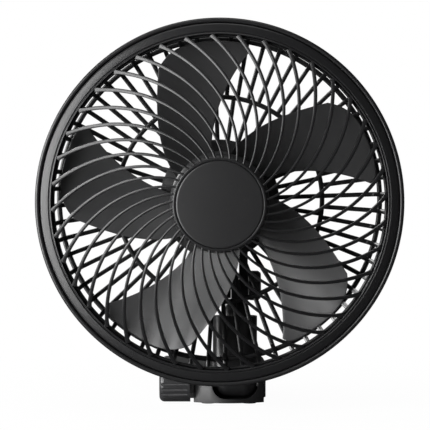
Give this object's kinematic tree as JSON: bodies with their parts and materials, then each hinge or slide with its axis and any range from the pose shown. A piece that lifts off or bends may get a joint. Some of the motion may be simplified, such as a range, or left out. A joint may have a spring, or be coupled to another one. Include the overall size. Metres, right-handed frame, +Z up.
{
  "type": "portable camping fan",
  "caption": "Cordless tabletop fan with a spiral-ribbed round guard on a tilting, swivelling head, a folding neck with a ribbed knob, and a battery foot.",
  "frame": {"origin": "on the table, under the fan's axis, at the middle of the overall depth", "axes": "+Z up; the fan faces -Y; +X to the right as seen from the front"},
  "size_m": [0.23, 0.162, 0.246],
  "materials": {
    "guard_black": "fine satin texture",
    "cap_black": "smooth satin",
    "housing_black": "satin",
    "blade_grey": "satin gloss",
    "neck_black": "satin",
    "foot_black": "fine satin texture",
    "knob_black": "satin",
    "button_grey": "smooth satin",
    "fastener_steel": "zinc plated",
    "bearing_steel": "ground",
    "core_steel": "laminated",
    "can_steel": "drawn and plated",
    "port_steel": "drawn",
    "coil_copper": "enamelled wire",
    "magnet_black": "bonded ferrite",
    "board_green": "solder mask",
    "switch_black": "plain",
    "ballast_steel": "black zinc plate",
    "battery_wrap": "foil pouch in a plastic wrap",
    "lens_white": "milky clear",
    "pad_rubber": "matt"
  },
  "bodies": {
    "foot": {"foot_shell": "foot_black", "foot_cover": "foot_black", "ballast_plate": "ballast_steel", "battery_pack": "battery_wrap", "circuit_board": "board_green", "board_switch": "switch_black", "charge_port": "port_steel", "indicator_lenses": "lens_white", "rubber_pads": "pad_rubber", "foot_screws": "fastener_steel", "fold_nut": "fastener_steel", "fold_washers": "fastener_steel"},
    "neck": {"neck_shell": "neck_black", "neck_cover": "neck_black", "neck_screws": "fastener_steel"},
    "swivel": {"swivel_head": "neck_black", "swivel_clip": "fastener_steel"},
    "head": {"front_ring": "guard_black", "front_grille": "guard_black", "hub_cap": "cap_black", "rear_grille": "guard_black", "motor_mount": "housing_black", "stator_core": "core_steel", "stator_coils": "coil_copper", "motor_bearings": "bearing_steel", "motor_board": "board_green", "motor_housing": "housing_black", "housing_screws": "fastener_steel", "guard_screws": "fastener_steel", "head_bracket": "housing_black", "bracket_screws": "fastener_steel", "tilt_nut": "fastener_steel", "tilt_washers": "fastener_steel"},
    "impeller": {"impeller": "blade_grey", "motor_shaft": "bearing_steel", "rotor_can": "can_steel", "rotor_magnets": "magnet_black", "impeller_nut": "fastener_steel"},
    "tilt_knob": {"tilt_knob": "knob_black", "tilt_bolt": "fastener_steel"},
    "fold_knob": {"fold_knob": "knob_black", "fold_bolt": "fastener_steel", "fold_knob_cap": "knob_black"},
    "power_button": {"power_button": "button_grey"}
  },
  "joints": [
    {"name": "neck_fold", "type": "hinge", "parent": "foot", "child": "neck", "pos_m": [0.0099, -0.002, 0.0129], "axis": [-1, 0, 0], "range_deg": [0, 20]},
    {"name": "head_pan", "type": "hinge", "parent": "neck", "child": "swivel", "pos_m": [0.0099, 0.003, 0.0552], "axis": [0, 0, 1], "range_deg": [-35, 45]},
    {"name": "head_tilt", "type": "hinge", "parent": "swivel", "child": "head", "pos_m": [0.0099, 0.003, 0.0747], "axis": [-1, 0, 0], "range_deg": [-3, 90]},
    {"name": "blade_spin", "type": "hinge", "parent": "head", "child": "impeller", "pos_m": [0, -0.03, 0.131], "axis": [0, 1, 0], "continuous": true},
    {"name": "tilt_knob_turn", "type": "hinge", "parent": "head", "child": "tilt_knob", "pos_m": [0.022, 0.003, 0.0747], "axis": [1, 0, 0], "range_deg": [0, 180]},
    {"name": "fold_knob_turn", "type": "hinge", "parent": "foot", "child": "fold_knob", "pos_m": [-0.028, -0.002, 0.0129], "axis": [-1, 0, 0], "range_deg": [0, 180]},
    {"name": "power_button_press", "type": "slide", "parent": "foot", "child": "power_button", "axis": [0, 0, -1], "range_m": [0, 0.0012], "stiffness_N_per_m": 300, "springref_m": -0.002}
  ]
}
